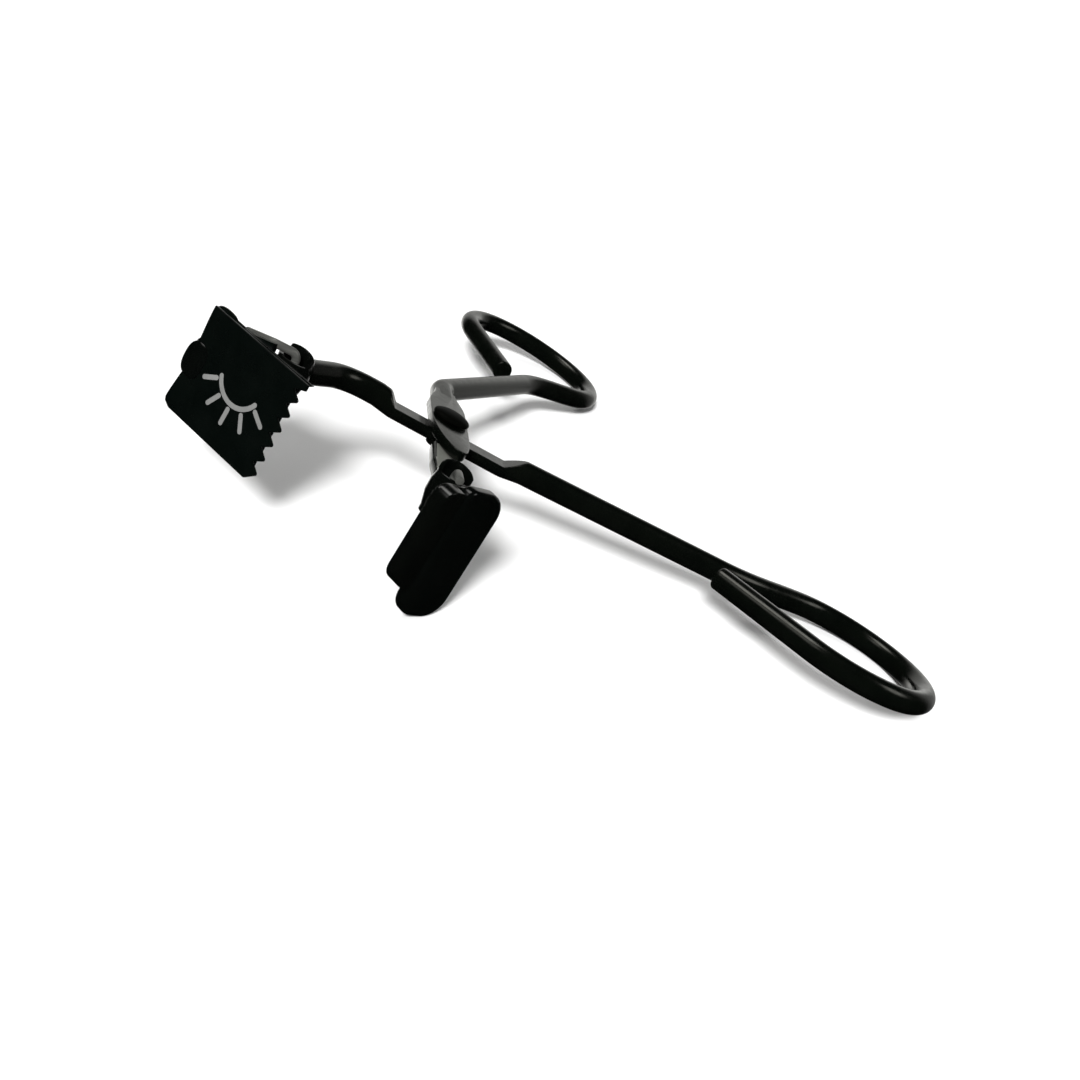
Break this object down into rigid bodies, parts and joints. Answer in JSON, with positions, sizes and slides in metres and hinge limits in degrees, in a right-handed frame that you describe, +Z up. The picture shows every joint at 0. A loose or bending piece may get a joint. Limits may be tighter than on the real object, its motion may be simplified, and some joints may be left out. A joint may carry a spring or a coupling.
{
  "type": "eyelash curler",
  "caption": "Scissor-action eyelash curler: two crossed wire arms with oval finger loops, and a swivelling comb plate facing a swivelling silicone pad.",
  "frame": {"origin": "centre of the bounding box in plan, at table height, as the tool lies at rest on its pad end and both finger loops", "axes": "+Z up from the table; +X roughly along the handle of the lower arm, from the heads to the finger loops; +Y towards the other arm's handle"},
  "size_m": [0.1054, 0.1048, 0.0235],
  "materials": {
    "arm_coating": "satin black coating on steel wire",
    "black_steel": "gloss black coating",
    "rivet_steel": "gloss black, domed",
    "pin_steel": "grey, lightly polished",
    "comb_steel": "satin black coating",
    "nylon": "matt",
    "silicone": "smooth glossy silicone rubber"
  },
  "bodies": {
    "lower_arm": {"arm_a": "arm_coating", "pivot_rivet": "rivet_steel", "pivot_washer": "nylon", "comb_barrel": "black_steel", "comb_bush": "nylon"},
    "upper_arm": {"arm_b": "arm_coating", "pad_barrel": "black_steel", "pad_bush": "nylon"},
    "comb_head": {"comb_face_plate": "comb_steel", "comb_strip": "comb_steel", "comb_back_plate": "comb_steel", "comb_tab": "silicone", "comb_hinge_pin": "pin_steel", "comb_pin_washer": "black_steel"},
    "pad_head": {"pad_carrier": "black_steel", "silicone_pad": "silicone", "pad_hinge_pin": "pin_steel", "pad_pin_washer": "black_steel"}
  },
  "joints": [
    {"name": "scissor_pivot", "type": "hinge", "parent": "lower_arm", "child": "upper_arm", "pos_m": [-0.01927, -0.02591, 0.01434], "axis": [0.2045, 0.1333, 0.9697], "range_deg": [-30, 6]},
    {"name": "comb_swivel", "type": "hinge", "parent": "lower_arm", "child": "comb_head", "pos_m": [-0.03887, -0.03522, 0.01976], "axis": [0.2045, 0.1333, 0.9697], "range_deg": [-25, 95]},
    {"name": "pad_swivel", "type": "hinge", "parent": "upper_arm", "child": "pad_head", "pos_m": [-0.01703, -0.04305, 0.01623], "axis": [0.2045, 0.1333, 0.9697], "range_deg": [-85, 60]}
  ]
}
